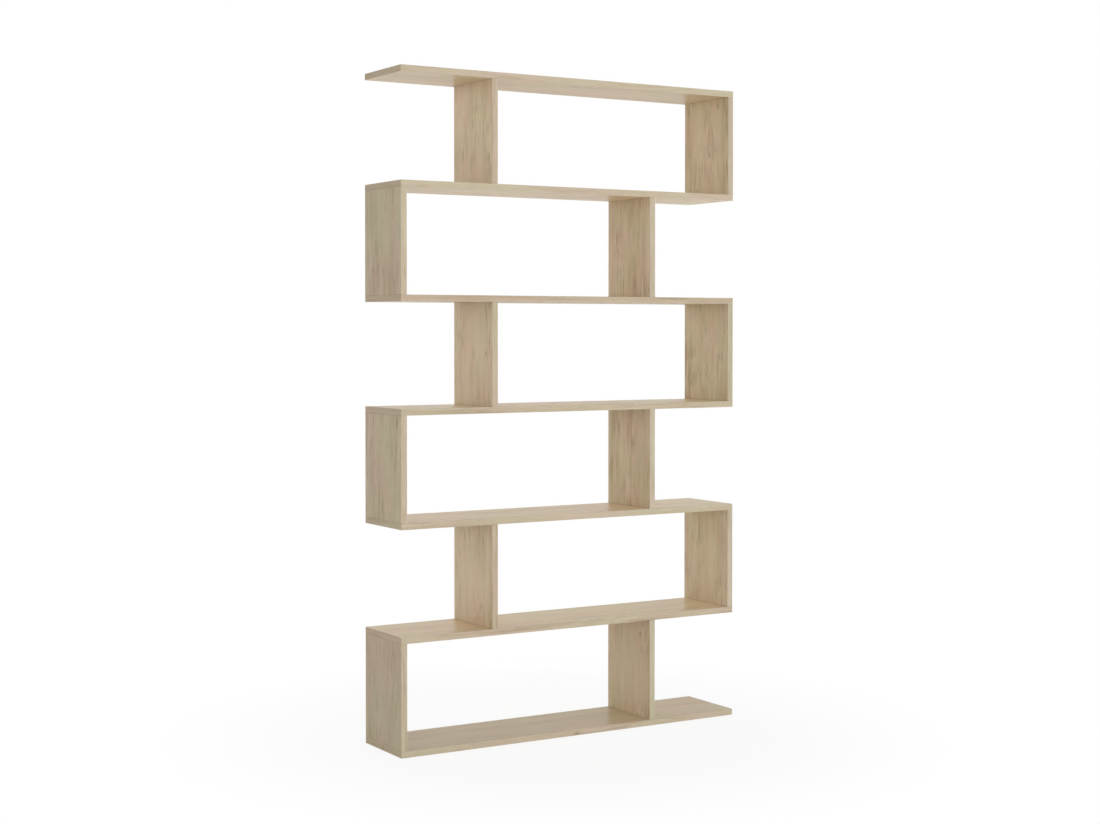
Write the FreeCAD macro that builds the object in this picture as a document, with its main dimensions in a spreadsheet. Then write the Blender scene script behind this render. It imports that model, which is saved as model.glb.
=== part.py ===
import FreeCAD, Part
import os
import re

import Sketcher

# Zigzag bookshelf. Seven full-width shelves are stacked on six tiers of two uprights each. In the odd
# tiers, counted from the floor, the left upright is flush with the left end of the shelves and the right
# one stands in from the right end. The even tiers are the other way round, so the outline steps from side
# to side. The boards are drawn together by cam fittings and lined up by dowels.
# The front faces -Y and +Z is up. The origin is on the floor, under the middle of the bottom shelf.

# Driving sizes in millimetres.
SIZES = {
    # Boards
    "overall_width": 1000.0,
    "overall_depth": 200.0,
    "board_thickness": 16.0,
    "tier_clear_height": 262.0,
    "upright_inset": 254.0,
    # Edging strips glued to the board edges
    "band_thickness": 0.8,
    "band_arris_radius": 0.5,
    # Fits of what sits in a bore, and how far a cut runs past the solid
    "fit_clearance": 0.05,
    "bore_end_gap": 1.0,
    "cut_overrun": 1.0,
    # Wooden dowels
    "dowel_diameter": 8.0,
    "dowel_length": 30.0,
    "dowel_seat": 10.0,
    "dowel_chamfer": 1.0,
    # Cam bolts, screwed into the shelves
    "bolt_setback": 40.0,
    "bolt_thread_diameter": 5.0,
    "bolt_thread_length": 11.0,
    "bolt_tip_length": 2.0,
    "bolt_shank_diameter": 7.0,
    "bolt_bore_diameter": 8.0,
    "bolt_neck_diameter": 3.8,
    "bolt_head_diameter": 5.8,
    "bolt_head_length": 3.2,
    # Cam locks, let into the right faces of the uprights
    "cam_setback": 34.0,
    "cam_diameter": 14.9,
    "cam_floor": 3.0,
    "cam_sink": 0.4,
    "cam_wall": 3.0,
    "cam_play": 0.2,
    "cam_cross_length": 7.0,
    "cam_cross_width": 1.4,
    "cam_cross_depth": 2.0,
    # Cover discs stuck over the cam locks
    "cover_diameter": 18.0,
    "cover_thickness": 0.4,
    "cover_chamfer": 0.2,
    # Wall bracket on the inset upright of the top tier
    "bracket_width": 18.0,
    "bracket_arm": 34.0,
    "bracket_tongue": 26.0,
    "bracket_thickness": 2.0,
    "bracket_bend_radius": 2.0,
    "bracket_corner_radius": 3.0,
    "bracket_drop": 56.0,
    "wall_hole_diameter": 5.5,
    "wall_hole_reach": 15.0,
    # Wood screws of the wall bracket
    "screw_diameter": 3.5,
    "screw_length": 13.0,
    "screw_tip_length": 3.0,
    "screw_head_diameter": 7.0,
    "screw_head_height": 2.4,
    "screw_head_rim": 0.8,
    "screw_crown_diameter": 4.4,
    "screw_cross_length": 3.4,
    "screw_cross_width": 0.9,
    "screw_cross_depth": 1.2,
    "screw_end_distance": 7.0,
    "screw_spacing": 13.0,
    "screw_hole_clearance": 0.25,
}

SHELF_NAMES = [
    "bottom_shelf",
    "second_shelf",
    "third_shelf",
    "fourth_shelf",
    "fifth_shelf",
    "sixth_shelf",
    "top_shelf",
]
TIERS = len(SHELF_NAMES) - 1
SIDES = ("left", "right")

# Formulas in the names of the sizes, shared by pieces that fit each other.
CORE_WIDTH = "(overall_width - 2 * band_thickness)"
CORE_DEPTH = "(overall_depth - 2 * band_thickness)"
TIER_PITCH = "(tier_clear_height + board_thickness)"
LEFT_END = "(-overall_width / 2)"
RIGHT_END = "(overall_width / 2)"
FRONT = "(-overall_depth / 2)"
BACK = "(overall_depth / 2)"
BOLT_PLACES = ("bolt_setback", "(overall_depth - bolt_setback)")
DOWEL_PLACES = ("(overall_depth / 2)",)
CAM_BORE_DEPTH = "(board_thickness - cam_floor)"
CAM_HEIGHT = f"({CAM_BORE_DEPTH} - cam_sink)"
CAM_RADIUS = "(cam_diameter / 2)"
BOLT_AXIS_IN_CAM = "(board_thickness / 2 - cam_floor)"
BRACKET_TOP = "(tier_clear_height - bracket_drop)"
BRACKET_MIDDLE = f"({BRACKET_TOP} - bracket_width / 2)"
SCREW_PLACES = ("screw_end_distance", "(screw_end_distance + screw_spacing)")

# Turns of the copies. The fittings at the top ends of the uprights point down, those at the bottom up.
# Cams, covers and screws face the right, with their own Z axis along +X and their Y axis along +Z.
# The strips of the back and of the shelf ends are those of the front, turned about +Z.
UPWARD = FreeCAD.Rotation()
DOWNWARD = FreeCAD.Rotation(FreeCAD.Vector(1, 0, 0), 180)
RIGHTWARD = FreeCAD.Rotation(FreeCAD.Vector(1, 1, 1), 120)
TO_FRONT = FreeCAD.Rotation()
TO_BACK = FreeCAD.Rotation(FreeCAD.Vector(0, 0, 1), 180)
TO_LEFT = FreeCAD.Rotation(FreeCAD.Vector(0, 0, 1), -90)
TO_RIGHT = FreeCAD.Rotation(FreeCAD.Vector(0, 0, 1), 90)

# Two coordinates closer than this are the same place.
SAME_PLACE = 1e-6

doc = FreeCAD.newDocument("ZigzagBookshelf")
sheet = doc.addObject("Spreadsheet::Sheet", "Sizes")
for row, (alias, value) in enumerate(SIZES.items(), start=1):
    sheet.set(f"A{row}", alias.replace("_", " "))
    sheet.set(f"B{row}", str(value))
    sheet.setAlias(f"B{row}", alias)
doc.recompute()


def bind(thing, path, formula):
    """Ties a property to the sheet by a formula in the names of the sizes."""
    thing.setExpression(path, re.sub(r"[a-z_]+", lambda name: f"Sizes.{name.group()}", formula))


def place(thing, x, y, z, turn=UPWARD):
    """Puts an object at a place given by three formulas."""
    thing.Placement = FreeCAD.Placement(FreeCAD.Vector(), turn)
    for axis, formula in zip("xyz", (x, y, z)):
        bind(thing, f"Placement.Base.{axis}", formula)


def new_body(label):
    """Starts a solid piece."""
    return doc.addObject("PartDesign::Body", label)


def new_sketch(body, role, offset=None):
    """Starts a sketch on one of the body's own planes, moved along the plane's normal by a formula."""
    plane = next(feature for feature in body.Origin.OriginFeatures if feature.Role == role)
    sketch = body.newObject("Sketcher::SketchObject", "Sketch")
    sketch.AttachmentSupport = [(plane, "")]
    sketch.MapMode = "FlatFace"
    if offset:
        bind(sketch, "AttachmentOffset.Base.z", offset)
    return sketch


def place_point(sketch, geometry, point, across, up):
    """Holds a sketch point at two formulas from the sketch's origin; a leading minus goes the other way."""
    for kind, zero_axis, formula in (("DistanceX", -2, across), ("DistanceY", -1, up)):
        if formula == "0":
            sketch.addConstraint(Sketcher.Constraint("PointOnObject", geometry, point, zero_axis))
            continue
        ends = (-1, 1, geometry, point)
        if formula.startswith("-"):
            ends = (geometry, point, -1, 1)
        number = sketch.addConstraint(Sketcher.Constraint(kind, *ends, 1.0))
        bind(sketch, f"Constraints[{number}]", formula.lstrip("-"))


def draw_polygon(sketch, corners):
    """Draws a closed outline through corners given as pairs of formulas."""
    count = len(corners)
    turn = FreeCAD.Rotation(FreeCAD.Vector(0, 0, 1), 360 / count)
    start = FreeCAD.Vector(1, 0, 0)
    for number in range(count):
        end = turn.multVec(start)
        sketch.addGeometry(Part.LineSegment(start, end), False)
        start = end
    for number, (across, up) in enumerate(corners):
        sketch.addConstraint(Sketcher.Constraint("Coincident", (number - 1) % count, 2, number, 1))
        place_point(sketch, number, 1, across, up)


def draw_rectangle(sketch, width, height):
    """Draws a rectangle from the sketch's origin."""
    draw_polygon(sketch, [("0", "0"), (width, "0"), (width, height), ("0", height)])


def draw_circles(sketch, centres, diameter):
    """Draws equal circles at centres given as pairs of formulas."""
    for number, (across, up) in enumerate(centres):
        circle = Part.Circle(FreeCAD.Vector(1, 1, 0), FreeCAD.Vector(0, 0, 1), 1)
        sketch.addGeometry(circle, False)
        place_point(sketch, number, 3, across, up)
        size = sketch.addConstraint(Sketcher.Constraint("Diameter", number, 1.0))
        bind(sketch, f"Constraints[{size}]", diameter)


def pad(body, sketch, length):
    """Raises a sketch into a solid."""
    feature = body.newObject("PartDesign::Pad", "Pad")
    feature.Profile = sketch
    bind(feature, "Length", length)
    return feature


def pocket(body, sketch, depth, along_normal=False):
    """Cuts a sketch into the solid, against the sketch's normal unless said otherwise."""
    feature = body.newObject("PartDesign::Pocket", "Pocket")
    feature.Profile = sketch
    feature.Reversed = along_normal
    bind(feature, "Length", depth)


def cut_cross(body, top, length, width, depth):
    """Cuts a screwdriver cross into the top of a turned piece, as two crossing slots."""
    for long_side, short_side in ((length, width), (width, length)):
        slot = new_sketch(body, "XY_Plane", top)
        draw_polygon(slot, [
            (f"-{long_side} / 2", f"-{short_side} / 2"),
            (f"{long_side} / 2", f"-{short_side} / 2"),
            (f"{long_side} / 2", f"{short_side} / 2"),
            (f"-{long_side} / 2", f"{short_side} / 2"),
        ])
        pocket(body, slot, depth)


def turn_profile(body, kind, corners, angle=360, reverse=False):
    """Revolves an outline of (radius, height) corners about the body's upright axis."""
    sketch = new_sketch(body, "XZ_Plane")
    draw_polygon(sketch, corners)
    feature = body.newObject(f"PartDesign::{kind}", kind)
    feature.Profile = sketch
    feature.ReferenceAxis = (sketch, ["V_Axis"])
    feature.Angle = angle
    feature.Reversed = reverse


def fillet(body, base, edges, radius):
    """Rounds named edges of a feature."""
    feature = body.newObject("PartDesign::Fillet", "Fillet")
    feature.Base = (base, edges)
    bind(feature, "Radius", radius)
    doc.recompute()
    return feature


def side_edges(shape, side, runs):
    """Names the edges on the outermost side of a shape, such as -y, that run along the given axes."""
    axis = side[1].upper()
    limit = getattr(shape.BoundBox, axis + ("Max" if side[0] == "+" else "Min"))
    names = []
    for number, edge in enumerate(shape.Edges, start=1):
        first, last = (vertex.Point for vertex in edge.Vertexes)
        off_side = max(abs(getattr(end, side[1]) - limit) for end in (first, last))
        run = max("xyz", key=lambda name: abs(getattr(last - first, name)))
        if off_side < SAME_PLACE and run in runs:
            names.append(f"Edge{number}")
    return names


def upright_edges(shape, x, y):
    """Names the edges of a shape that stand upright over one place."""
    names = []
    for number, edge in enumerate(shape.Edges, start=1):
        offsets = [vertex.Point - FreeCAD.Vector(x, y, vertex.Point.z) for vertex in edge.Vertexes]
        if max(offset.Length for offset in offsets) < SAME_PLACE:
            names.append(f"Edge{number}")
    return names


def shelf_height(level):
    """Underside of a shelf above the floor."""
    return f"({level} * {TIER_PITCH})"


def upright_face(tier, side):
    """Left face of an upright, from the left end of the shelves."""
    flush = "0" if side == "left" else "(overall_width - board_thickness)"
    inset = "upright_inset" if side == "left" else "(overall_width - upright_inset - board_thickness)"
    flush_side = "left" if tier % 2 == 0 else "right"
    return flush if side == flush_side else inset


def upright_joints():
    """Every joint between an upright and a shelf: the left face of the upright, its height, its turn."""
    for tier in range(TIERS):
        for side in SIDES:
            face = f"{LEFT_END} + {upright_face(tier, side)}"
            yield face, f"({shelf_height(tier)} + board_thickness)", UPWARD
            yield face, shelf_height(tier + 1), DOWNWARD


def bore_row(body, role, offset, centres, diameter, depth, along_normal=False):
    """Drills equal holes into one face of a body."""
    sketch = new_sketch(body, role, offset)
    draw_circles(sketch, centres, diameter)
    pocket(body, sketch, depth, along_normal)


def drill_shelf_face(body, tier, on_top):
    """Drills the bores of a tier's bolts and dowels into the top or the underside of a shelf."""
    offset = "board_thickness" if on_top else None
    rows = (
        (BOLT_PLACES, "bolt_thread_diameter", "bolt_thread_length"),
        (DOWEL_PLACES, "dowel_diameter", "dowel_seat"),
    )
    for places, diameter, seat in rows:
        centres = [
            (f"{upright_face(tier, side)} + board_thickness / 2 - band_thickness", f"{y} - band_thickness")
            for side in SIDES
            for y in places
        ]
        bore = f"{diameter} + 2 * fit_clearance"
        bore_row(body, "XY_Plane", offset, centres, bore, f"{seat} + bore_end_gap", along_normal=not on_top)


def make_shelf(level):
    """One shelf board, without its edging, drilled for the uprights above and below it."""
    body = new_body(SHELF_NAMES[level])
    outline = new_sketch(body, "XY_Plane")
    draw_rectangle(outline, CORE_WIDTH, CORE_DEPTH)
    pad(body, outline, "board_thickness")
    if level < TIERS:
        drill_shelf_face(body, level, on_top=True)
    if level > 0:
        drill_shelf_face(body, level - 1, on_top=False)
    place(body, f"{LEFT_END} + band_thickness", f"{FRONT} + band_thickness", shelf_height(level))
    return body


def upright_name(tier, side):
    """Name of an upright, with the tiers counted from the floor."""
    return f"tier_{tier + 1}_{side}_upright"


def drill_upright_ends(body):
    """Drills the bolt and dowel bores into both ends of an upright."""
    rows = (
        (BOLT_PLACES, "bolt_bore_diameter", "cam_setback"),
        (DOWEL_PLACES, "dowel_diameter + 2 * fit_clearance", "dowel_length - dowel_seat + bore_end_gap"),
    )
    for places, diameter, depth in rows:
        centres = [("board_thickness / 2", f"{y} - band_thickness") for y in places]
        bore_row(body, "XY_Plane", None, centres, diameter, depth, along_normal=True)
        bore_row(body, "XY_Plane", "tier_clear_height", centres, diameter, depth)


def drill_cam_bores(body):
    """Drills the cam bores into the right face of an upright."""
    centres = [
        (f"{y} - band_thickness", z)
        for y in BOLT_PLACES
        for z in ("cam_setback", "tier_clear_height - cam_setback")
    ]
    diameter = "cam_diameter + 2 * fit_clearance"
    bore_row(body, "YZ_Plane", "board_thickness", centres, diameter, CAM_BORE_DEPTH)


def drill_screw_bores(body):
    """Drills the bores of the wall bracket's screws into the right face of an upright."""
    centres = [
        (f"overall_depth - bracket_arm + {y} - band_thickness", BRACKET_MIDDLE)
        for y in SCREW_PLACES
    ]
    depth = "screw_length - bracket_thickness + bore_end_gap"
    bore_row(body, "YZ_Plane", "board_thickness", centres, "screw_diameter + 2 * fit_clearance", depth)


def make_upright(tier, side):
    """One upright board, without its edging. The top tier's left one also carries the wall bracket."""
    body = new_body(upright_name(tier, side))
    outline = new_sketch(body, "XY_Plane")
    draw_rectangle(outline, "board_thickness", CORE_DEPTH)
    pad(body, outline, "tier_clear_height")
    drill_upright_ends(body)
    drill_cam_bores(body)
    if tier == TIERS - 1 and side == "left":
        drill_screw_bores(body)
    foot = f"{shelf_height(tier)} + board_thickness"
    place(body, f"{LEFT_END} + {upright_face(tier, side)}", f"{FRONT} + band_thickness", foot)
    return body


def copies(label, placed):
    """Sets out copies of master solids as one sub-part; each has a master, x, y, z formulas and a turn."""
    links = []
    for master, x, y, z, turn in placed:
        link = doc.addObject("App::Link", f"{label}_copy")
        link.LinkedObject = master
        place(link, x, y, z, turn)
        links.append(link)
    group = doc.addObject("Part::Compound", label)
    group.Links = links
    return group


def make_strip(label, length, height, rounded):
    """One edging strip along X, with arrises of its outer side, at -Y, rounded along the given axes."""
    master = new_body(label)
    outline = new_sketch(master, "XY_Plane")
    draw_rectangle(outline, length, "band_thickness")
    block = pad(master, outline, height)
    doc.recompute()
    fillet(master, block, side_edges(block.Shape, "-y", rounded), "band_arris_radius")
    return master


def make_shelf_edgings():
    """The four strips round each shelf: the front and back ones run past the ends of the other two."""
    long_strip = make_strip("long_strip_master", "overall_width", "board_thickness", "xz")
    end_strip = make_strip("end_strip_master", CORE_DEPTH, "board_thickness", "x")
    edgings = []
    for level, name in enumerate(SHELF_NAMES):
        z = shelf_height(level)
        edgings.append(copies(f"{name}_edging", [
            (long_strip, LEFT_END, FRONT, z, TO_FRONT),
            (long_strip, RIGHT_END, BACK, z, TO_BACK),
            (end_strip, LEFT_END, f"{BACK} - band_thickness", z, TO_LEFT),
            (end_strip, RIGHT_END, f"{FRONT} + band_thickness", z, TO_RIGHT),
        ]))
    return edgings


def make_upright_edgings():
    """The strips on the front and back edges of each upright."""
    strip = make_strip("upright_strip_master", "board_thickness", "tier_clear_height", "z")
    edgings = []
    for tier in range(TIERS):
        for side in SIDES:
            x = f"{LEFT_END} + {upright_face(tier, side)}"
            z = f"{shelf_height(tier)} + board_thickness"
            edgings.append(copies(f"{upright_name(tier, side)}_edging", [
                (strip, x, FRONT, z, TO_FRONT),
                (strip, f"{x} + board_thickness", BACK, z, TO_BACK),
            ]))
    return edgings


def joint_places(depths):
    """Every fitting of a kind: its upright's left face, its depth, its joint's height and its turn."""
    for face, z, turn in upright_joints():
        for y in depths:
            yield face, f"{FRONT} + {y}", z, turn


def into_upright(z, turn, distance):
    """Height at a distance from a joint, on the upright's side."""
    return f"{z} + {distance}" if turn is UPWARD else f"{z} - {distance}"


def into_shelf(z, turn, distance):
    """Height at a distance from a joint, on the shelf's side."""
    return f"{z} - {distance}" if turn is UPWARD else f"{z} + {distance}"


def make_dowels():
    """The chamfered dowels, one in the middle of every joint."""
    radius = "dowel_diameter / 2"
    master = new_body("dowel_master")
    turn_profile(master, "Revolution", [
        ("0", "0"),
        (f"{radius} - dowel_chamfer", "0"),
        (radius, "dowel_chamfer"),
        (radius, "dowel_length - dowel_chamfer"),
        (f"{radius} - dowel_chamfer", "dowel_length"),
        ("0", "dowel_length"),
    ])
    return copies("dowels", [
        (master, f"{face} + board_thickness / 2", y, into_shelf(z, turn, "dowel_seat"), turn)
        for face, y, z, turn in joint_places(DOWEL_PLACES)
    ])


def make_cam_bolts():
    """The bolts: a thread in the shelf, a shank in the upright, and a neck and head inside the cam."""
    cam_axis = "bolt_thread_length + cam_setback"
    shank_end = f"{cam_axis} - {CAM_RADIUS} - bore_end_gap"
    head_start = f"{cam_axis} - bolt_head_length / 2"
    head_end = f"{cam_axis} + bolt_head_length / 2"
    master = new_body("cam_bolt_master")
    turn_profile(master, "Revolution", [
        ("0", "0"),
        ("bolt_thread_diameter / 2", "bolt_tip_length"),
        ("bolt_thread_diameter / 2", "bolt_thread_length"),
        ("bolt_shank_diameter / 2", "bolt_thread_length"),
        ("bolt_shank_diameter / 2", shank_end),
        ("bolt_neck_diameter / 2", shank_end),
        ("bolt_neck_diameter / 2", head_start),
        ("bolt_head_diameter / 2", head_start),
        ("bolt_head_diameter / 2", head_end),
        ("0", head_end),
    ])
    return copies("cam_bolts", [
        (master, f"{face} + board_thickness / 2", y, into_shelf(z, turn, "bolt_thread_length"), turn)
        for face, y, z, turn in joint_places(BOLT_PLACES)
    ])


def at_cams(label, master, x):
    """Copies of a piece on the axis of every cam, at a distance x from the left face of the upright."""
    return copies(label, [
        (master, f"{face} + {x}", y, into_upright(z, turn, "cam_setback"), turn.multiply(RIGHTWARD))
        for face, y, z, turn in joint_places(BOLT_PLACES)
    ])


def make_cam_locks():
    """The cams: a drum, hollow round the bolt's head, with a claw slot, an entry hole and a cross."""
    master = new_body("cam_lock_master")
    outline = new_sketch(master, "XY_Plane")
    draw_circles(outline, [("0", "0")], "cam_diameter")
    pad(master, outline, CAM_HEIGHT)
    hollow = f"{CAM_RADIUS} - cam_wall"
    half_hollow = "(bolt_head_diameter / 2 + 2 * cam_play)"
    half_slot = "(bolt_neck_diameter / 2 + cam_play)"
    reach = f"{CAM_RADIUS} + cut_overrun"
    for radius, half_height, angle in ((hollow, half_hollow, 360), (reach, half_slot, 180)):
        low = f"{BOLT_AXIS_IN_CAM} - {half_height}"
        high = f"{BOLT_AXIS_IN_CAM} + {half_height}"
        section = [("0", low), (radius, low), (radius, high), ("0", high)]
        turn_profile(master, "Groove", section, angle, reverse=True)
    entry = new_sketch(master, "YZ_Plane")
    draw_circles(entry, [("0", BOLT_AXIS_IN_CAM)], "bolt_head_diameter + 2 * cam_play")
    pocket(master, entry, reach, along_normal=True)
    cut_cross(master, CAM_HEIGHT, "cam_cross_length", "cam_cross_width", "cam_cross_depth")
    return at_cams("cam_locks", master, "cam_floor")


def make_cam_covers():
    """The thin discs that hide the cams."""
    master = new_body("cam_cover_master")
    turn_profile(master, "Revolution", [
        ("0", "0"),
        ("cover_diameter / 2", "0"),
        ("cover_diameter / 2", "cover_thickness - cover_chamfer"),
        ("cover_diameter / 2 - cover_chamfer", "cover_thickness"),
        ("0", "cover_thickness"),
    ])
    return at_cams("cam_covers", master, "board_thickness")


def bracket_origin():
    """Front end of the wall bracket's arm, on the right face of the top tier's left upright."""
    x = f"{LEFT_END} + {upright_face(TIERS - 1, 'left')} + board_thickness"
    z = f"{shelf_height(TIERS - 1)} + board_thickness"
    return x, f"{BACK} - bracket_arm", z


def make_wall_bracket():
    """The bent plate: its arm lies on the upright, its tongue against the wall."""
    body = new_body("wall_bracket")
    outline = new_sketch(body, "XY_Plane")
    draw_polygon(outline, [
        ("0", "0"),
        ("bracket_thickness", "0"),
        ("bracket_thickness", "bracket_arm - bracket_thickness"),
        ("bracket_tongue", "bracket_arm - bracket_thickness"),
        ("bracket_tongue", "bracket_arm"),
        ("0", "bracket_arm"),
    ])
    plate = pad(body, outline, "bracket_width")
    doc.recompute()
    corners = side_edges(plate.Shape, "-y", "x") + side_edges(plate.Shape, "+x", "y")
    rounded = fillet(body, plate, corners, "bracket_corner_radius")
    tongue_front = sheet.bracket_arm - sheet.bracket_thickness
    inner_bend = upright_edges(rounded.Shape, sheet.bracket_thickness, tongue_front)
    rounded = fillet(body, rounded, inner_bend, "bracket_bend_radius")
    outer_bend = upright_edges(rounded.Shape, 0, sheet.bracket_arm)
    fillet(body, rounded, outer_bend, "bracket_bend_radius + bracket_thickness")
    screw_centres = [(y, "bracket_width / 2") for y in SCREW_PLACES]
    screw_hole = "screw_diameter + 2 * screw_hole_clearance"
    depth = "bracket_thickness + cut_overrun"
    bore_row(body, "YZ_Plane", "bracket_thickness", screw_centres, screw_hole, depth)
    wall_centre = [("wall_hole_reach", "bracket_width / 2")]
    bore_row(body, "XZ_Plane", "-bracket_arm", wall_centre, "wall_hole_diameter", depth, along_normal=True)
    x, y, z = bracket_origin()
    place(body, x, y, f"{z} + {BRACKET_TOP} - bracket_width")
    return body


def make_bracket_screws():
    """The pan-head screws that hold the wall bracket's arm."""
    radius, head_radius = "screw_diameter / 2", "screw_head_diameter / 2"
    top = "screw_length + screw_head_height"
    master = new_body("bracket_screw_master")
    turn_profile(master, "Revolution", [
        ("0", "0"),
        (radius, "screw_tip_length"),
        (radius, "screw_length"),
        (head_radius, "screw_length"),
        (head_radius, "screw_length + screw_head_rim"),
        ("screw_crown_diameter / 2", top),
        ("0", top),
    ])
    cut_cross(master, top, "screw_cross_length", "screw_cross_width", "screw_cross_depth")
    x, y, z = bracket_origin()
    tip = f"{x} + bracket_thickness - screw_length"
    return copies("bracket_screws", [
        (master, tip, f"{y} + {along}", f"{z} + {BRACKET_MIDDLE}", RIGHTWARD) for along in SCREW_PLACES
    ])


def make_parts():
    """Makes every sub-part, the boards first."""
    parts = [make_shelf(level) for level in range(TIERS + 1)]
    parts += [make_upright(tier, side) for tier in range(TIERS) for side in SIDES]
    parts += make_shelf_edgings()
    parts += make_upright_edgings()
    parts += [make_dowels(), make_cam_bolts(), make_cam_locks(), make_cam_covers()]
    parts += [make_wall_bracket(), make_bracket_screws()]
    doc.recompute()
    return parts


def check(parts):
    """Stops if an object failed, a cut removed nothing, or a sub-part is empty or broken."""
    for thing in doc.Objects:
        if "Invalid" in thing.State or "Error" in thing.State:
            raise RuntimeError(f"{thing.Name} failed: {thing.State}")
        if thing.TypeId in ("PartDesign::Pocket", "PartDesign::Groove"):
            if thing.Shape.Volume >= thing.BaseFeature.Shape.Volume:
                raise RuntimeError(f"{thing.Name} of {thing.getParentGeoFeatureGroup().Name} cuts nothing")
    for part in parts:
        if part.Shape.isNull() or not part.Shape.isValid():
            raise RuntimeError(f"{part.Label} has no valid shape")


def write(parts):
    """Writes each sub-part to its own file and prints what it holds."""
    os.makedirs("parts", exist_ok=True)
    for part in parts:
        part.Shape.exportStep(os.path.join("parts", f"{part.Label}.step"))
        print(f"{part.Label}: {len(part.Shape.Solids)} solids, {part.Shape.Volume:.0f} mm3")
    whole = Part.makeCompound([part.Shape for part in parts]).BoundBox
    print(f"{len(parts)} sub-parts, {whole.XLength:.1f} x {whole.YLength:.1f} x {whole.ZLength:.1f} mm")


parts = make_parts()
check(parts)
write(parts)
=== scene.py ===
import math

import bpy
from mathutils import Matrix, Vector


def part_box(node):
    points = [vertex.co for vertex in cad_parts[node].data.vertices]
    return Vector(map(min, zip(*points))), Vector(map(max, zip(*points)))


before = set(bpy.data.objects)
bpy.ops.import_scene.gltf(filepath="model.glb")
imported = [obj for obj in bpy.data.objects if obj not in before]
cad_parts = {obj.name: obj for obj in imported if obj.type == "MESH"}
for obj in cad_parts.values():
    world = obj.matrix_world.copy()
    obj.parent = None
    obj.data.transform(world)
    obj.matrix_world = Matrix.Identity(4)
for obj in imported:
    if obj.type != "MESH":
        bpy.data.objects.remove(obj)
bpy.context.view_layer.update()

scene = bpy.context.scene
scene.view_settings.view_transform = "Standard"

# The photograph's frame and the camera's axis and focal length in it, in pixels, and the camera's place in
# metres. It turns to the right by its yaw and looks down by its dip, in degrees.
IMAGE_WIDTH, IMAGE_HEIGHT = 1100, 824
AXIS_X, AXIS_Y = 531.6, 360.0
FOCAL_PIXELS = 1837.7
SENSOR_WIDTH = 36.0
CAMERA_PLACE = (-2.5063, -4.0836, 1.0442)
CAMERA_YAW, CAMERA_DIP = 30.795, 0.965

# The surround. A strength of 1 is white. It changes from low to high as a direction rises.
WHITE = (1.0, 1.0, 1.0, 1.0)
WORLD_LOW, WORLD_HIGH = 0.86, 0.28
WORLD_RISE = (0.25, 0.55)

# The lamps: their places in metres and their power in watts.
LAMP_SIZE = 3.0
LAMP_TARGET = (0.0, 0.0, 0.85)
LAMPS = {
    "front_lamp": ((0.0, -4.5, 1.0), 105.0),
    "back_lamp": ((0.0, 4.5, 1.0), 90.0),
    "left_lamp": ((-4.5, 0.0, 1.0), 20.0),
    "right_lamp": ((4.5, 0.0, 1.0), 60.0),
    "high_lamp": ((0.0, 3.8, 4.6), 60.0),
}

# The floor. Its paint takes the shadow, and the white glow over it grows to full between near and far.
FLOOR_SIZE = 30.0
FLOOR_PAINT, FLOOR_PAINT_DULL = (0.90, 0.90, 0.895, 1.0), (0.88, 0.88, 0.875, 1.0)
FLOOR_MOTTLE_RATES = (3.0, 3.0, 3.0)
FLOOR_ROUGHNESS = 0.9
FLOOR_GLOW_NEAR, FLOOR_GLOW_FAR = 0.89, 1.0
FLOOR_NEAR, FLOOR_FAR = 0.5, 1.1

# Reflectances of the oak print, from its dark streaks to its light wood, and of its pores, dashes and knots.
OAK_TONES = (
    (0.00, (0.365, 0.270, 0.168)),
    (0.30, (0.520, 0.413, 0.285)),
    (0.55, (0.615, 0.510, 0.375)),
    (1.00, (0.695, 0.592, 0.458)),
)
OAK_DARK = (0.262, 0.172, 0.098, 1.0)
PINKISH, OLIVE = (1.022, 0.966, 0.967, 1.0), (0.979, 1.018, 0.945, 1.0)

# How pale each board's print is, and the boards that take each shade. All other boards take the plain shade.
# These shades are partly the print's paleness from board to board and partly painted light and shade:
# painted shade darkens the bottom shelf and the outer left uprights, painted light pales the inner left
# uprights and the third, fifth and sixth shelves.
PLAIN_SHADE = 1.10
PALENESS_AND_PAINTED_LIGHT = (
    (0.85, ("bottom_shelf", "tier_1_left_upright")),
    (0.93, ("tier_3_left_upright", "tier_5_left_upright")),
    (1.15, (
        "third_shelf", "fifth_shelf",
        "tier_2_left_upright", "tier_4_left_upright", "tier_6_left_upright",
    )),
    (1.27, ("sixth_shelf",)),
)

# Factors of red, green and blue: for the boards, for the edging strips by a word in the board's name, and
# once more for the strips on the shelves' ends.
# The casts are partly the print's colour and partly painted light: the shelves are warmer and a little paler
# than the uprights for the light and sheen on them, and the right uprights' strips are cooler than the left
# uprights'.
UPRIGHT_CAST, SHELF_CAST = (0.93, 0.91, 0.865), (0.965, 0.925, 0.815)
STRIP_CASTS = {
    "shelf": (0.90, 0.925, 0.945),
    "left": (0.885, 0.89, 0.905),
    "right": (0.88, 0.93, 0.96),
}
# Painted shade: the strips on the shelves' end faces are darker and warmer than those on their fronts and
# backs.
END_CAST = (0.885, 0.83, 0.755, 1.0)

# How strong the figure of the print is, and how many features it has along the grain beside an upright's.
UPRIGHT_PRINT = {"figure": 1.5, "closeness": 1.0}
SHELF_PRINT = {"figure": 1.15, "closeness": 0.5}
SHELF_STRIP_PRINT = {"figure": 0.95, "closeness": 0.45}
UPRIGHT_STRIP_PRINT = {"figure": 1.0, "closeness": 0.6}

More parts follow.
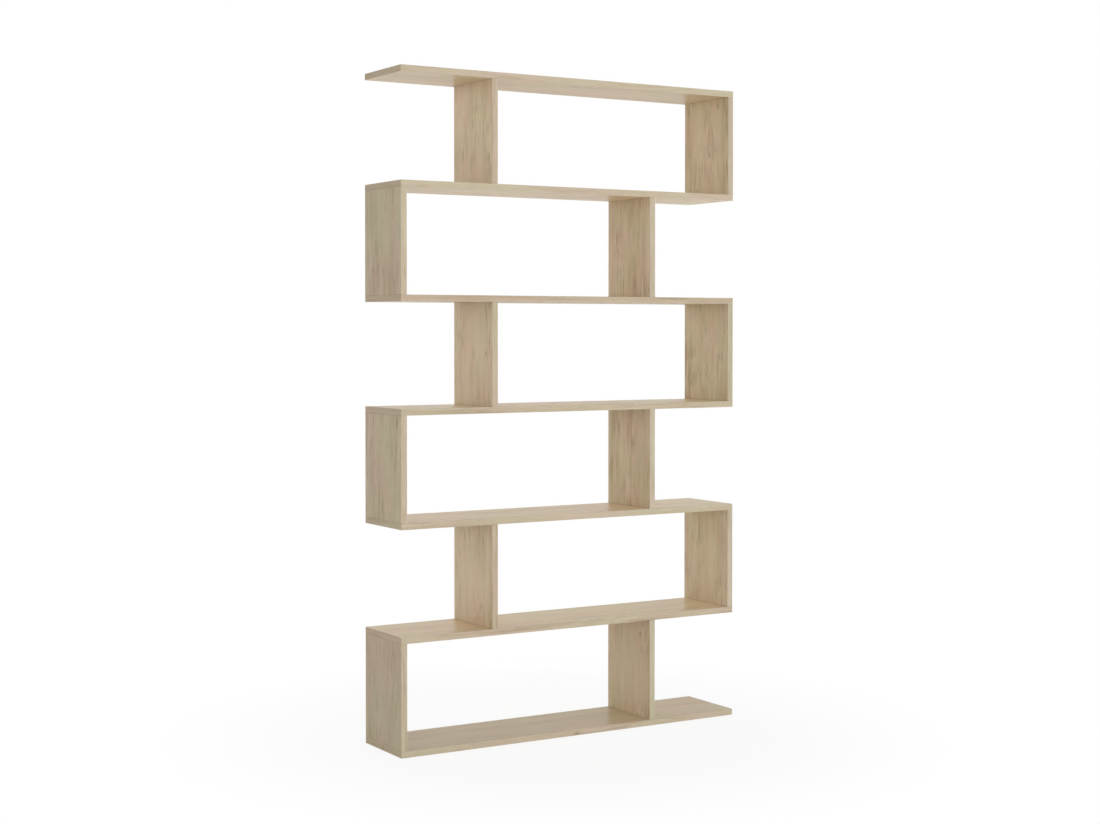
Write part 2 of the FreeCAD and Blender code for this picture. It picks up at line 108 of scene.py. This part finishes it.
# Layers of the print: features per metre along and across the grain, then a place of the layer's own in the
# noise, its detail and its roughness.
LAYERS = {
    "wander": (3.0, 8.0, 11.3, 1.0, 0.5),
    "jitter": (5.0, 60.0, 4.1, 2.0, 0.5),
    "broad": (1.2, 23.0, 71.5, 1.0, 0.5),
    "patches": (9.0, 18.0, 23.9, 2.0, 0.5),
    "bands": (4.5, 60.0, 35.2, 1.0, 0.5),
    "clusters": (8.0, 15.0, 88.8, 1.0, 0.5),
    "streaks": (15.0, 125.0, 31.7, 2.0, 0.6),
    "fibres": (24.0, 520.0, 47.2, 3.0, 0.6),
    "hue": (7.0, 13.0, 58.6, 1.0, 0.5),
    "dashes": (18.0, 190.0, 66.1, 1.0, 0.5),
    "pores": (70.0, 1500.0, 79.4, 1.0, 0.5),
}
# How much each layer changes the tone, at a figure of 1.
WEIGHTS = {"broad": 0.42, "patches": 0.45, "bands": 0.30, "rings": 0.07, "streaks": 1.0, "fibres": 0.27}

# Tone, streaks, dashes and pores. A share is what shows outside the clusters, and what they add.
SEED_STEP = 5.37
WANDER = 0.010
TONE_LEAST, TONE_SPAN, TONE_DRAW = 0.54, 0.06, 17.0
HUE_LIMITS = (0.30, 0.70)
CLUSTER_LIMITS = (0.45, 0.63)
STREAK_SHARE, STREAK_SHARE_ADDED = 0.18, 0.75
DASH_LIMITS = (0.54, 0.69)
DASH_SHARE, DASH_SHARE_ADDED = 0.08, 0.92
DASH_DARKNESS, PORE_DARKNESS, DARKEST = 0.29, 0.34, 0.6
PORE_LIMIT, PORE_LIMIT_DROP, PORE_GAIN = 0.66, 0.07, 14.0

# Growth rings: how far the middle of the figure lies aside, the slope and depth of the cut, and the rings.
RING_ASIDE, RING_ASIDE_DRAW = 0.12, 3.7
RING_SLOPE, RING_SLOPE_DRAW = 0.05, 9.1
RING_DEPTH = 0.050
RINGS_PER_METRE = 120.0
RING_JITTER = 3.4

# Knots, as places along and across the grain, with their reach in the same two directions.
KNOTS = {
    "tier_1_right_upright": ((0.234, -0.055),),
    "tier_2_left_upright": ((0.344, -0.044),),
    "tier_4_left_upright": ((0.982, -0.067),),
    "tier_6_right_upright": ((1.519, -0.016), (1.648, -0.053)),
    "bottom_shelf_edging": ((0.003, 0.005),),
}
KNOT_PUSH, KNOT_PUSH_REACH = 0.75, (0.030, 0.014)
KNOT_DARKNESS, KNOT_DARK_REACH = 0.50, (0.0080, 0.0045)

# Satin finish of the print.
SPECULAR_LEVEL = 0.2
ROUGHNESS_LEAST, ROUGHNESS_BY_FIBRES, ROUGHNESS_BY_PORES = 0.29, 0.10, 0.15
RELIEF_BY_FIBRES, RELIEF_BY_PORES = 0.35, -1.0
RELIEF_DEPTH = 0.00012
BOARD_RELIEF, COVER_RELIEF, BEECH_RELIEF = 0.35, 0.2, 0.3

# Boards and strips. A board's two faces, and a strip's two or four sides, each have a seed of their own.
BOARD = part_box("bottom_shelf")[1][2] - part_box("bottom_shelf")[0][2]
FIRST_BOARD_SEED, SEEDS_PER_BOARD = 1.0, 2.0
FIRST_STRIP_SEED, SEEDS_PER_STRIP = 101.0, 4.0
FIRST_COVER_SEED, COVER_SEEDS_PER_METRE = 300.0, 9.0
# A face counts as broad, as an end or as a cut side where its normal lies that way by more than these.
BROAD_FACE, END_FACE, CUT_FACE = 0.5, 0.7, 0.98
# Where an upright meets a shelf: a dark joint edge with painted shade in its groove, how dark it gets and
# its reach.
JOINT_DARK = (0.150, 0.108, 0.070, 1.0)
JOINT_DARKNESS, JOINT_REACH = 0.24, (0.0003, 0.0016)
STRIP_CORE = (0.470, 0.372, 0.262, 1.0)

# Wear on the arrises of the strips.
RUBBED_EDGE = (0.700, 0.610, 0.480, 1.0)
RUB_REACH = (0.0012, 0.0002)
RUB_RATES, RUB_LIMITS = (35.0, 8.0, 1.0), (0.45, 0.65)
RUB_PALENESS, RUB_ROUGHNESS = 0.45, 0.12

# Chipboard.
CHIPS_PER_METRE, CHIP_SHARE = 420.0, 0.6
CHIP_MOTTLE_RATES, CHIP_MOTTLE_SHARE = (90.0, 90.0, 90.0), 0.4
CHIP_TONES = (
    (0.10, (0.27, 0.175, 0.095)),
    (0.50, (0.44, 0.315, 0.190)),
    (0.90, (0.56, 0.430, 0.285)),
)

# Beech.
BEECH_TONES = (
    (0.25, (0.47, 0.300, 0.170)),
    (0.75, (0.64, 0.450, 0.285)),
)
BEECH_FLECK = (0.30, 0.170, 0.085, 1.0)
BEECH_RATES, FLECK_RATES = (900.0, 900.0, 60.0), (1600.0, 1600.0, 420.0)
FLECK_LIMITS, FLECK_DARKNESS = (0.60, 0.72), 0.4
BEECH_ROUGHNESS_LEAST, BEECH_ROUGHNESS_SPAN = 0.5, 0.2

# Metals: dark and light colour, features of the grain per metre, mean roughness and strength of the relief.
METALS = {
    "cam_locks": {
        "name": "zinc_casting", "dark": (0.42, 0.42, 0.43), "light": (0.62, 0.62, 0.63),
        "rates": (1500.0, 1500.0, 1500.0), "rough": 0.42, "relief": 0.30,
    },
    "cam_bolts": {
        "name": "turned_steel", "dark": (0.50, 0.49, 0.48), "light": (0.72, 0.71, 0.69),
        "rates": (300.0, 300.0, 4000.0), "rough": 0.30, "relief": 0.25,
    },
    "wall_bracket": {
        "name": "plated_plate", "dark": (0.36, 0.37, 0.38), "light": (0.52, 0.53, 0.54),
        "rates": (2500.0, 250.0, 2500.0), "rough": 0.36, "relief": 0.15,
    },
    "bracket_screws": {
        "name": "plated_screw", "dark": (0.32, 0.32, 0.32), "light": (0.50, 0.50, 0.49),
        "rates": (3000.0, 500.0, 500.0), "rough": 0.32, "relief": 0.20,
    },
}
CLOUD_RATES, CLOUD_SHARE = (160.0, 160.0, 160.0), 0.5
METAL_TONES = (0.30, 0.70)
METAL_ROUGHNESS_SPAN = 0.25


# Nodes

def node(tree, kind, inputs=None, **settings):
    """Adds a shader node. An input is a number, a tuple or another node's output."""
    made = tree.nodes.new(kind)
    for key, value in settings.items():
        setattr(made, key, value)
    for key, value in (inputs or {}).items():
        if isinstance(value, bpy.types.NodeSocket):
            tree.links.new(value, made.inputs[key])
        else:
            made.inputs[key].default_value = value
    return made


def calc(tree, operation, *values, clamp=False):
    """A sum, product or other operation on numbers."""
    inputs = dict(enumerate(values))
    return node(tree, "ShaderNodeMath", inputs, operation=operation, use_clamp=clamp).outputs[0]


def add(tree, *values):
    total = values[0]
    for value in values[1:]:
        total = calc(tree, "ADD", total, value)
    return total


def minus(tree, a, b):
    return calc(tree, "SUBTRACT", a, b)


def times(tree, a, b):
    return calc(tree, "MULTIPLY", a, b)


def size_of(tree, value):
    """A number without its sign."""
    return calc(tree, "ABSOLUTE", value)


def scaled(tree, value, factor, plus=0.0):
    """value * factor + plus."""
    return calc(tree, "MULTIPLY_ADD", value, factor, plus)


def above(tree, value, limit):
    """1 where a value is above a limit, otherwise 0."""
    return calc(tree, "GREATER_THAN", value, limit)


def step_up(tree, value, low, high):
    """A smooth rise from 0 at low to 1 at high."""
    inputs = {0: value, 1: low, 2: high}
    return node(tree, "ShaderNodeMapRange", inputs, interpolation_type="SMOOTHSTEP").outputs[0]


def choose(tree, factor, a, b):
    """A number between a, at factor 0, and b, at factor 1."""
    return node(tree, "ShaderNodeMix", {0: factor, 2: a, 3: b}, data_type="FLOAT").outputs[0]


def blend(tree, factor, a, b, mode="MIX"):
    """A colour between a, at factor 0, and b, at factor 1."""
    mix = node(tree, "ShaderNodeMix", {0: factor, 6: a, 7: b}, data_type="RGBA", blend_type=mode)
    return mix.outputs[2]


def combine(tree, x, y, z):
    return node(tree, "ShaderNodeCombineXYZ", {0: x, 1: y, 2: z}).outputs[0]


def separate(tree, vector):
    return node(tree, "ShaderNodeSeparateXYZ", {0: vector}).outputs


def noise(tree, vector, rates, place, detail=2.0, roughness=0.5):
    """Smooth random numbers round 0.5: rates are features per metre, place is a depth in the noise."""
    moved = {0: vector, 1: rates, 2: (0.0, 0.0, place)}
    inputs = {
        "Vector": node(tree, "ShaderNodeVectorMath", moved, operation="MULTIPLY_ADD").outputs[0],
        "Scale": 1.0,
        "Detail": detail,
        "Roughness": roughness,
    }
    return node(tree, "ShaderNodeTexNoise", inputs).outputs[0]


def random_of(tree, seed, draw):
    """One random number from 0 to 1 for a whole seed."""
    inputs = {"W": add(tree, seed, draw)}
    return node(tree, "ShaderNodeTexWhiteNoise", inputs, noise_dimensions="1D").outputs[0]


def spread(tree, seed, draw, most):
    """One random number from -most to most for a whole seed."""
    return scaled(tree, random_of(tree, seed, draw), 2.0 * most, -most)


def colour_ramp(tree, factor, stops):
    """A colour from a row of (place, colour) stops."""
    made = node(tree, "ShaderNodeValToRGB", {0: factor})
    elements = made.color_ramp.elements
    while len(elements) < len(stops):
        elements.new(1.0)
    for element, (place, colour) in zip(elements, stops):
        element.position = place
        element.color = (*colour, 1.0)
    return made.outputs[0]


def new_material(name):
    """A material with one surface shader. Returns it, its tree and the shader."""
    material = bpy.data.materials.new(name)
    material.use_nodes = True
    tree = material.node_tree
    return material, tree, tree.nodes["Principled BSDF"]


def place_on(tree):
    """The place of a point on the surface, as a vector."""
    return node(tree, "ShaderNodeTexCoord").outputs["Object"]


def normal_at(tree):
    """The direction of the surface, as three numbers."""
    return separate(tree, node(tree, "ShaderNodeNewGeometry").outputs["Normal"])


def dress(tree, shader, colour, rough, relief, strength):
    """Ties a colour, a roughness and a relief to the surface shader."""
    bump = node(tree, "ShaderNodeBump", {"Strength": strength, "Distance": RELIEF_DEPTH, "Height": relief})
    tree.links.new(colour, shader.inputs["Base Color"])
    tree.links.new(rough, shader.inputs["Roughness"])
    tree.links.new(bump.outputs[0], shader.inputs["Normal"])
    shader.inputs["Specular IOR Level"].default_value = SPECULAR_LEVEL


# Oak print

def layer(tree, vector, name):
    """One layer of the print's noise."""
    rate_along, rate_across, place, detail, roughness = LAYERS[name]
    return noise(tree, vector, (rate_along, rate_across, 1.0), place, detail, roughness)


def weighed(tree, value, weight):
    """A number round 0.5 as a change of tone, up or down."""
    return scaled(tree, value, weight, -0.5 * weight)


def fading(tree, beyond, beside, reach):
    """1 in the middle of a knot, falling to 0 along and across the grain."""
    long_part = scaled(tree, beyond, 1.0 / reach[0])
    short_part = scaled(tree, beside, 1.0 / reach[1])
    squares = add(tree, times(tree, long_part, long_part), times(tree, short_part, short_part))
    return calc(tree, "EXPONENT", scaled(tree, squares, -1.0))


def knot_fields(tree, along, across, knots):
    """How far each knot pushes the grain aside, and how dark it is."""
    pushes, marks = [], []
    for knot_along, knot_across in knots:
        beyond = minus(tree, along, knot_along)
        beside = minus(tree, across, knot_across)
        push = fading(tree, beyond, beside, KNOT_PUSH_REACH)
        mark = fading(tree, beyond, beside, KNOT_DARK_REACH)
        pushes.append(times(tree, push, scaled(tree, beside, -KNOT_PUSH)))
        marks.append(scaled(tree, mark, KNOT_DARKNESS))
    return pushes, marks


def growth_rings(tree, seed, along, bent, grain):
    """Rings cut almost along the trunk: arches in the middle of the figure, straight lines beside it."""
    middle = spread(tree, seed, RING_ASIDE_DRAW, RING_ASIDE)
    slope = spread(tree, seed, RING_SLOPE_DRAW, RING_SLOPE)
    height = add(tree, times(tree, along, slope), RING_DEPTH)
    sideways = minus(tree, bent, middle)
    squares = add(tree, times(tree, sideways, sideways), times(tree, height, height))
    radius = calc(tree, "SQRT", squares)
    jitter = layer(tree, grain, "jitter")
    phase = add(tree, scaled(tree, radius, RINGS_PER_METRE), scaled(tree, jitter, RING_JITTER))
    wave = calc(tree, "SINE", scaled(tree, phase, 2.0 * math.pi))
    return scaled(tree, wave, 0.5, 0.5)


def oak(tree, along, across, seed, shade, figure, closeness, knots=()):
    """Printed oak with its grain along one direction. Returns its colour, roughness and height."""
    offset = scaled(tree, seed, SEED_STEP)
    length = scaled(tree, along, closeness)
    flat = combine(tree, length, across, offset)

    # The grain wanders slowly, and bends at the knots.
    pushes, knot_marks = knot_fields(tree, along, across, knots)
    wander = scaled(tree, layer(tree, flat, "wander"), 2.0 * WANDER, -WANDER)
    bent = add(tree, across, wander, *pushes)
    grain = combine(tree, length, bent, offset)

    # Soft patches and bands, with short streaks that come in clusters, and fine fibres.
    rings = growth_rings(tree, seed, along, bent, grain)
    fibres = layer(tree, grain, "fibres")
    clusters = step_up(tree, layer(tree, flat, "clusters"), *CLUSTER_LIMITS)
    streaks = weighed(tree, layer(tree, grain, "streaks"), WEIGHTS["streaks"] * figure)
    tone = add(
        tree,
        weighed(tree, layer(tree, flat, "broad"), WEIGHTS["broad"] * figure),
        weighed(tree, layer(tree, flat, "patches"), WEIGHTS["patches"] * figure),
        weighed(tree, layer(tree, grain, "bands"), WEIGHTS["bands"] * figure),
        weighed(tree, rings, WEIGHTS["rings"] * figure),
        times(tree, streaks, scaled(tree, clusters, STREAK_SHARE_ADDED, STREAK_SHARE)),
        weighed(tree, fibres, WEIGHTS["fibres"] * figure),
        scaled(tree, random_of(tree, seed, TONE_DRAW), TONE_SPAN, TONE_LEAST),
    )
    stops = [(place, [part * by for part, by in zip(tint, shade)]) for place, tint in OAK_TONES]
    colour = colour_ramp(tree, tone, stops)

    # Slow changes of hue.
    hue = step_up(tree, layer(tree, flat, "hue"), *HUE_LIMITS)
    colour = blend(tree, 1.0, colour, blend(tree, hue, PINKISH, OLIVE), "MULTIPLY")

    # Dark dashes, pores that are more frequent in one part of each ring, and the knots.
    dashes = step_up(tree, layer(tree, grain, "dashes"), *DASH_LIMITS)
    dashes = times(tree, dashes, scaled(tree, clusters, DASH_SHARE_ADDED, DASH_SHARE))
    pore_limit = scaled(tree, rings, -PORE_LIMIT_DROP, PORE_LIMIT)
    pores = minus(tree, layer(tree, grain, "pores"), pore_limit)
    pores = calc(tree, "MULTIPLY", pores, PORE_GAIN, clamp=True)
    dash_marks = scaled(tree, dashes, DASH_DARKNESS * figure)
    pore_marks = scaled(tree, pores, PORE_DARKNESS)
    dark = calc(tree, "MINIMUM", add(tree, dash_marks, pore_marks, *knot_marks), DARKEST)
    colour = blend(tree, dark, colour, OAK_DARK)

    rough = scaled(tree, fibres, ROUGHNESS_BY_FIBRES, ROUGHNESS_LEAST)
    rough = add(tree, rough, scaled(tree, pores, ROUGHNESS_BY_PORES))
    relief = add(tree, scaled(tree, fibres, RELIEF_BY_FIBRES), scaled(tree, pores, RELIEF_BY_PORES))
    return colour, rough, relief


# Boards and strips

def paleness_and_painted_light_of(board):
    """Paleness and cast of a board's print, partly its own colour and partly painted light and shade."""
    shade = next((shade for shade, cut in PALENESS_AND_PAINTED_LIGHT if board in cut), PLAIN_SHADE)
    cast = UPRIGHT_CAST if board.endswith("upright") else SHELF_CAST
    return [shade * part for part in cast]


def strip_cast(board):
    """Cast of the strips on a board: its name says whether it is a shelf or a left or right upright. The
    cooler cast of the right uprights' strips is painted light.
    """
    return next(cast for word, cast in STRIP_CASTS.items() if word in board)


def chipboard(tree, vector):
    """The bare particle core that shows at undressed edges and in bores. Returns its colour."""
    chips = node(tree, "ShaderNodeTexVoronoi", {"Vector": vector, "Scale": CHIPS_PER_METRE})
    chip = node(tree, "ShaderNodeSeparateColor", {0: chips.outputs["Color"]}).outputs[0]
    mottle = noise(tree, vector, CHIP_MOTTLE_RATES, place=5.0, detail=3.0)
    mixed = add(tree, scaled(tree, chip, CHIP_SHARE), scaled(tree, mottle, CHIP_MOTTLE_SHARE))
    return colour_ramp(tree, mixed, CHIP_TONES)


def joint_line_and_shade(tree, colour, z, low, high):
    """Darkens an upright's print in the thin line where its ends meet the shelves: dark joint edge and
    painted shade.
    """
    gap = calc(tree, "MINIMUM", minus(tree, z, low), minus(tree, high, z))
    clear = step_up(tree, gap, *JOINT_REACH)
    return blend(tree, scaled(tree, clear, -JOINT_DARKNESS, JOINT_DARKNESS), colour, JOINT_DARK)


def board_look(board, seed):
    """Oak print on the two broad faces of a board; bare chipboard at its edges and in its bores."""
    material, tree, shader = new_material("oak_" + board)
    vector = place_on(tree)
    place = separate(tree, vector)
    normal = normal_at(tree)
    low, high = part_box(board)
    standing = board.endswith("upright")
    along = place[2] if standing else place[0]
    facing = normal[0] if standing else normal[2]
    side = scaled(tree, above(tree, facing, 0.0), 1.0, seed)
    look = UPRIGHT_PRINT if standing else SHELF_PRINT
    knots = KNOTS.get(board, ())
    colour, rough, relief = oak(tree, along, place[1], side, paleness_and_painted_light_of(board), knots=knots, **look)
    if standing:
        colour = joint_line_and_shade(tree, colour, place[2], low[2], high[2])
    bare = calc(tree, "LESS_THAN", size_of(tree, facing), BROAD_FACE)
    colour = blend(tree, bare, colour, chipboard(tree, vector))
    dress(tree, shader, colour, rough, relief, BOARD_RELIEF)
    return material


def rubbed(tree, colour, rough, across, middle, along):
    """Wears the arrises of an edging strip here and there, paler and duller."""
    out = size_of(tree, minus(tree, across, middle))
    edge = step_up(tree, out, BOARD / 2.0 - RUB_REACH[0], BOARD / 2.0 - RUB_REACH[1])
    spots = noise(tree, combine(tree, along, across, 0.0), RUB_RATES, place=3.0)
    wear = times(tree, edge, step_up(tree, spots, *RUB_LIMITS))
    colour = blend(tree, scaled(tree, wear, RUB_PALENESS), colour, RUBBED_EDGE)
    return colour, add(tree, rough, scaled(tree, wear, RUB_ROUGHNESS))


def strip_look(board, seed):
    """Oak print along the edging strips of a board; the cut sides of the strips are plain."""
    edging = board + "_edging"
    material, tree, shader = new_material("oak_" + edging)
    place = separate(tree, place_on(tree))
    normal = normal_at(tree)
    low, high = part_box(board)
    standing = board.endswith("upright")
    front_or_back = above(tree, normal[1], 0.0)
    if standing:
        look = UPRIGHT_STRIP_PRINT
        along, across, cut_way = place[2], place[0], normal[0]
        middle = (low[0] + high[0]) / 2.0
        side = front_or_back
    else:
        look = SHELF_STRIP_PRINT
        at_end = above(tree, size_of(tree, normal[0]), END_FACE)
        along = choose(tree, at_end, place[0], place[1])
        across, cut_way = place[2], normal[2]
        middle = (low[2] + high[2]) / 2.0
        left_or_right = scaled(tree, above(tree, normal[0], 0.0), 1.0, 2.0)
        side = choose(tree, at_end, front_or_back, left_or_right)
    side = scaled(tree, side, 1.0, seed)
    knots = KNOTS.get(edging, ())
    colour, rough, relief = oak(tree, along, across, side, strip_cast(board), knots=knots, **look)
    colour, rough = rubbed(tree, colour, rough, across, middle, along)
    if standing:
        colour = joint_line_and_shade(tree, colour, place[2], low[2], high[2])
    else:
        # Painted shade on the strips of the shelves' end faces.
        colour = blend(tree, at_end, colour, END_CAST, "MULTIPLY")
    cut = above(tree, size_of(tree, cut_way), CUT_FACE)
    dress(tree, shader, blend(tree, cut, colour, STRIP_CORE), rough, relief, BOARD_RELIEF)
    return material


def cover_look():
    """Oak foil of the cover discs, with other pieces of the print than the boards have."""
    material, tree, shader = new_material("oak_cover_foil")
    place = separate(tree, place_on(tree))
    sum_of_places = add(tree, place[0], place[1])
    seed = calc(tree, "FLOOR", scaled(tree, sum_of_places, COVER_SEEDS_PER_METRE, FIRST_COVER_SEED))
    colour, rough, relief = oak(tree, place[2], place[1], seed, UPRIGHT_CAST, **UPRIGHT_PRINT)
    dress(tree, shader, colour, rough, relief, COVER_RELIEF)
    return material


# Fittings

def beech():
    """Turned beech of the dowels, with fine flecks along them."""
    material, tree, shader = new_material("beech_dowel_wood")
    vector = place_on(tree)
    streaks = noise(tree, vector, BEECH_RATES, place=1.0, detail=3.0)
    fleck_noise = noise(tree, vector, FLECK_RATES, place=7.0, detail=1.0)
    flecks = step_up(tree, fleck_noise, *FLECK_LIMITS)
    colour = colour_ramp(tree, streaks, BEECH_TONES)
    colour = blend(tree, scaled(tree, flecks, FLECK_DARKNESS), colour, BEECH_FLECK)
    rough = scaled(tree, streaks, BEECH_ROUGHNESS_SPAN, BEECH_ROUGHNESS_LEAST)
    dress(tree, shader, colour, rough, streaks, BEECH_RELIEF)
    return material


def metal(name, dark, light, rates, rough, relief):
    """Bare or plated metal with a fine grain and cloudy plating."""
    material, tree, shader = new_material(name)
    vector = place_on(tree)
    grain = noise(tree, vector, rates, place=2.0, detail=3.0, roughness=0.6)
    clouds = noise(tree, vector, CLOUD_RATES, place=9.0)
    mixed = add(tree, scaled(tree, grain, 1.0 - CLOUD_SHARE), scaled(tree, clouds, CLOUD_SHARE))
    colour = colour_ramp(tree, mixed, tuple(zip(METAL_TONES, (dark, light))))
    span = METAL_ROUGHNESS_SPAN
    dress(tree, shader, colour, scaled(tree, mixed, span, rough - span / 2.0), grain, relief)
    shader.inputs["Metallic"].default_value = 1.0
    return material


looks = {"cam_covers": cover_look(), "dowels": beech()}
for name, settings in METALS.items():
    looks[name] = metal(**settings)
boards = [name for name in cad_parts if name.endswith(("shelf", "upright"))]
for number, board in enumerate(boards):
    looks[board] = board_look(board, FIRST_BOARD_SEED + SEEDS_PER_BOARD * number)
    looks[board + "_edging"] = strip_look(board, FIRST_STRIP_SEED + SEEDS_PER_STRIP * number)

for name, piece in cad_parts.items():
    for slot in piece.material_slots:
        slot.material = looks[name]


# Floor, light and camera

def seen_directly(tree):
    """1 for what the camera sees, straight or in a reflection; 0 for light on the object."""
    path = node(tree, "ShaderNodeLightPath").outputs
    seen = calc(tree, "MAXIMUM", path["Is Camera Ray"], path["Is Glossy Ray"])
    return calc(tree, "MAXIMUM", seen, path["Is Transmission Ray"])


def make_floor():
    """A pale floor that is white where the object doesn't shade it."""
    half = FLOOR_SIZE / 2.0
    corners = [(-half, -half, 0.0), (half, -half, 0.0), (half, half, 0.0), (-half, half, 0.0)]
    mesh = bpy.data.meshes.new("studio_floor")
    mesh.from_pydata(corners, [], [(0, 1, 2, 3)])
    floor = bpy.data.objects.new("studio_floor", mesh)
    scene.collection.objects.link(floor)
    material, tree, shader = new_material("studio_floor_paint")
    vector = place_on(tree)
    mottle = noise(tree, vector, FLOOR_MOTTLE_RATES, place=0.0)
    tree.links.new(blend(tree, mottle, FLOOR_PAINT, FLOOR_PAINT_DULL), shader.inputs["Base Color"])
    shader.inputs["Roughness"].default_value = FLOOR_ROUGHNESS
    shader.inputs["Specular IOR Level"].default_value = 0.0
    glow = node(tree, "ShaderNodeEmission", {"Color": WHITE, "Strength": 1.0})
    distance = node(tree, "ShaderNodeVectorMath", {0: vector}, operation="LENGTH").outputs["Value"]
    away = step_up(tree, distance, FLOOR_NEAR, FLOOR_FAR)
    share = choose(tree, away, FLOOR_GLOW_NEAR, FLOOR_GLOW_FAR)
    mix = node(tree, "ShaderNodeMixShader", {
        0: times(tree, seen_directly(tree), share),
        1: shader.outputs[0],
        2: glow.outputs[0],
    })
    tree.links.new(mix.outputs[0], tree.nodes["Material Output"].inputs["Surface"])
    mesh.materials.append(material)


def make_world():
    """A surround that lights the object more from low down than from overhead, and is seen as white."""
    world = bpy.data.worlds.new("studio")
    world.use_nodes = True
    tree = world.node_tree
    background = tree.nodes["Background"]
    background.inputs["Color"].default_value = WHITE
    direction = node(tree, "ShaderNodeTexCoord").outputs["Generated"]
    rise = separate(tree, direction)["Z"]
    strength = choose(tree, step_up(tree, rise, *WORLD_RISE), WORLD_LOW, WORLD_HIGH)
    tree.links.new(choose(tree, seen_directly(tree), strength, 1.0), background.inputs["Strength"])
    scene.world = world


def make_lamp(name, place, watts):
    """A soft square lamp that faces the object and doesn't show in it."""
    light = bpy.data.lights.new(name, "AREA")
    light.shape = "SQUARE"
    light.size = LAMP_SIZE
    light.energy = watts
    lamp = bpy.data.objects.new(name, light)
    lamp.location = place
    x, y, z = [end - start for end, start in zip(LAMP_TARGET, place)]
    lamp.rotation_euler = (math.atan2(math.hypot(x, y), -z), 0.0, math.atan2(-x, y))
    lamp.visible_camera = False
    lamp.visible_glossy = False
    scene.collection.objects.link(lamp)


def make_camera():
    """A camera that looks a little down. The lens shift keeps the uprights almost parallel in the frame."""
    data = bpy.data.cameras.new("camera")
    data.sensor_fit = "HORIZONTAL"
    data.sensor_width = SENSOR_WIDTH
    data.lens = FOCAL_PIXELS * SENSOR_WIDTH / IMAGE_WIDTH
    data.shift_x = (IMAGE_WIDTH / 2.0 - AXIS_X) / IMAGE_WIDTH
    data.shift_y = (AXIS_Y - IMAGE_HEIGHT / 2.0) / IMAGE_WIDTH
    camera = bpy.data.objects.new("camera", data)
    camera.location = CAMERA_PLACE
    camera.rotation_euler = (math.radians(90.0 - CAMERA_DIP), 0.0, math.radians(-CAMERA_YAW))
    scene.collection.objects.link(camera)
    scene.camera = camera


make_floor()
make_world()
make_camera()
for name, (place, watts) in LAMPS.items():
    make_lamp(name, place, watts)
